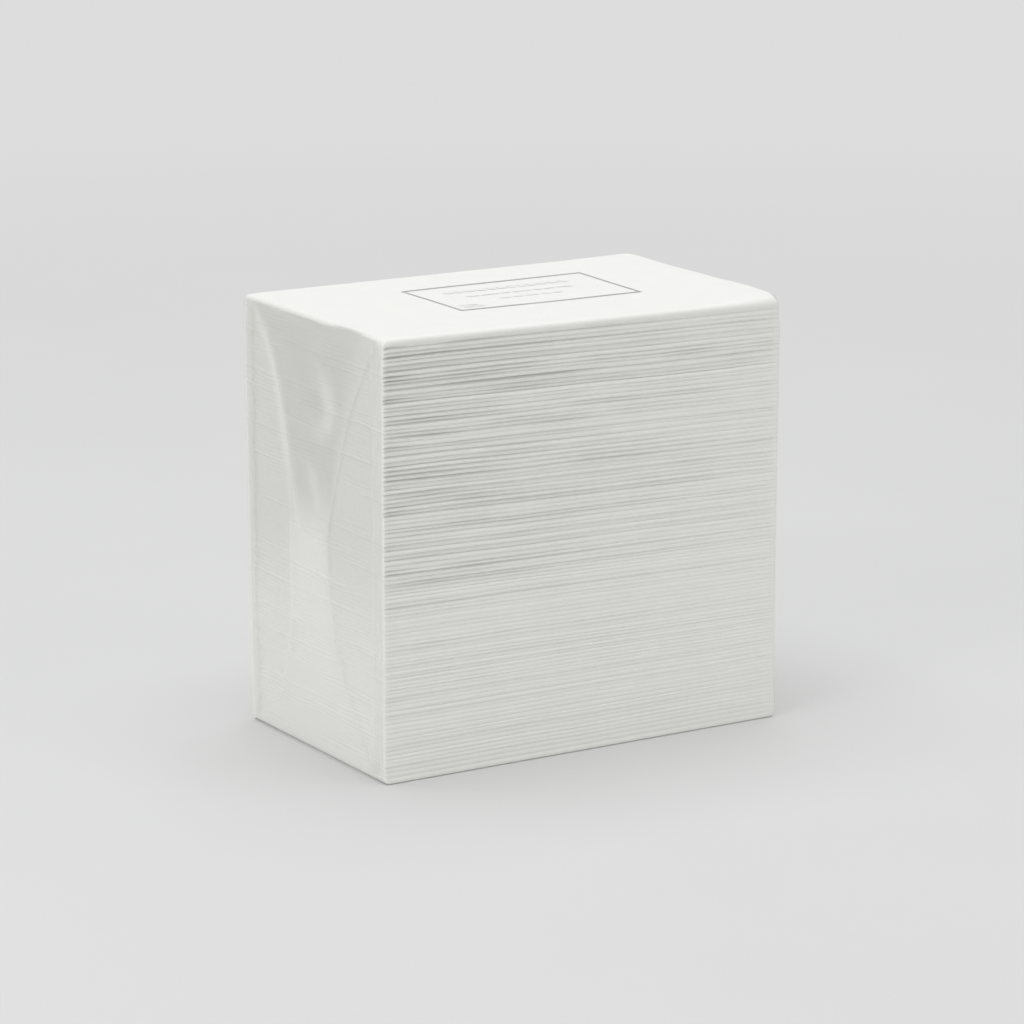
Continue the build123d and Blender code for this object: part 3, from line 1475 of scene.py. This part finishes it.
@dataclass
class Studio:
    """Floor, soft light and camera. Sizes in metres."""

    aim: Vec3 = (0.0, 0.0, 0.0987)
    azimuth: float = -31.667
    elevation: float = 13.575
    distance: float = 2.0435
    lens: float = 155.8
    sensor: float = 36.0
    sight: float = 50.0
    floor_rings: tuple[float, ...] = (0.5, 1.5, 4.0, 9.0)
    floor_sides: int = 96
    sky: Colour = (1.0, 1.0, 0.965)
    sky_strength: float = 0.58
    backdrop: Colour = (0.72, 0.72, 0.72)
    lamps: tuple[Softbox, ...] = (
        Softbox("top_softbox", (0.0, 0.2, 3.0), 3.0, 52.0, (0.945, 0.95, 1.0)),
        Softbox("side_softbox", (-1.8, -0.5, 0.5), 1.0, 7.2, (1.0, 1.0, 0.98)),
        Softbox("front_softbox", (1.1, -1.3, 0.6), 1.0, 1.8, (1.0, 1.0, 0.98)))

    def build_floor(self) -> bpy.types.Object:
        """Builds the pale round floor.

        Returns:
            The floor.
        """
        count = self.floor_sides
        turn = np.linspace(0.0, math.tau, count, endpoint=False)
        vertices = [(0.0, 0.0, 0.0)]
        for radius in self.floor_rings:
            vertices += [(radius * math.cos(a), radius * math.sin(a), 0.0) for a in turn]
        faces = [(0, 1 + i, 1 + (i + 1) % count) for i in range(count)]
        for ring in range(len(self.floor_rings) - 1):
            start = 1 + ring * count
            for i in range(count):
                j = (i + 1) % count
                faces.append((start + i, start + count + i, start + count + j, start + j))
        mesh = bpy.data.meshes.new("floor")
        mesh.from_pydata(vertices, [], faces)
        mesh.materials.append(StudioFloor(self.backdrop).material())
        floor = bpy.data.objects.new("floor", mesh)
        bpy.context.scene.collection.objects.link(floor)
        LOG.info("floor: %d faces", len(mesh.polygons))
        return floor

    def build_sky(self) -> None:
        """Builds the even light from all round, and the pale backdrop that the camera sees."""
        world = bpy.data.worlds.new("studio")
        bpy.context.scene.world = world
        world.use_nodes = True
        tree = world.node_tree
        light = tree.nodes["Background"]
        light.inputs["Color"].default_value = (*self.sky, 1.0)
        light.inputs["Strength"].default_value = self.sky_strength
        seen = tree.nodes.new("ShaderNodeBackground")
        seen.inputs["Color"].default_value = (*self.backdrop, 1.0)
        mix = tree.nodes.new("ShaderNodeMixShader")
        tree.links.new(shown_rays(tree), mix.inputs["Fac"])
        tree.links.new(light.outputs["Background"], mix.inputs[1])
        tree.links.new(seen.outputs["Background"], mix.inputs[2])
        tree.links.new(mix.outputs["Shader"], tree.nodes["World Output"].inputs["Surface"])

    def build_lamp(self, softbox: Softbox) -> bpy.types.Object:
        """Builds one softbox.

        Args:
            softbox: the softbox.

        Returns:
            The lamp.
        """
        data = bpy.data.lights.new(softbox.name, "AREA")
        data.shape = "SQUARE"
        data.size = softbox.size
        data.energy = softbox.watts
        data.color = softbox.colour
        lamp = bpy.data.objects.new(softbox.name, data)
        lamp.location = softbox.place
        facing = Vector(self.aim) - Vector(softbox.place)
        lamp.rotation_euler = facing.to_track_quat("-Z", "Y").to_euler()
        bpy.context.scene.collection.objects.link(lamp)
        LOG.info("%s: %.1f W", softbox.name, softbox.watts)
        return lamp

    def build_camera(self) -> bpy.types.Object:
        """Builds the camera at the photograph's viewing angle.

        Returns:
            The camera.
        """
        a, e = math.radians(self.azimuth), math.radians(self.elevation)
        back = Vector((math.sin(a) * math.cos(e), -math.cos(a) * math.cos(e), math.sin(e)))
        data = bpy.data.cameras.new("camera")
        data.lens = self.lens
        data.sensor_width = self.sensor
        data.clip_end = self.sight
        camera = bpy.data.objects.new("camera", data)
        camera.location = Vector(self.aim) + back * self.distance
        camera.rotation_euler = (-back).to_track_quat("-Z", "Y").to_euler()
        bpy.context.scene.collection.objects.link(camera)
        bpy.context.scene.camera = camera
        return camera

    def build(self) -> None:
        """Builds the camera, the floor and the light."""
        bpy.context.scene.view_settings.view_transform = "Standard"
        self.build_camera()
        self.build_floor()
        self.build_sky()
        for softbox in self.lamps:
            self.build_lamp(softbox)


def main() -> None:
    """Builds the studio, the towels, the film and its print."""
    logging.basicConfig(level=logging.INFO, format="%(message)s")
    Studio().build()
    stack = TowelStack()
    stack.build()
    sleeve = FilmSleeve(stack)
    left, right = left_end(sleeve), right_end(sleeve)
    # The film over the ends gets painted shade from each end's fold.
    sleeve.build(lambda x, y, z: np.where(x < 0.0, left.painted_shade(y, z), right.painted_shade(y, z)))
    left.build()
    right.build()
    PrintedPanel(sleeve).build()


if __name__ == "__main__":
    main()
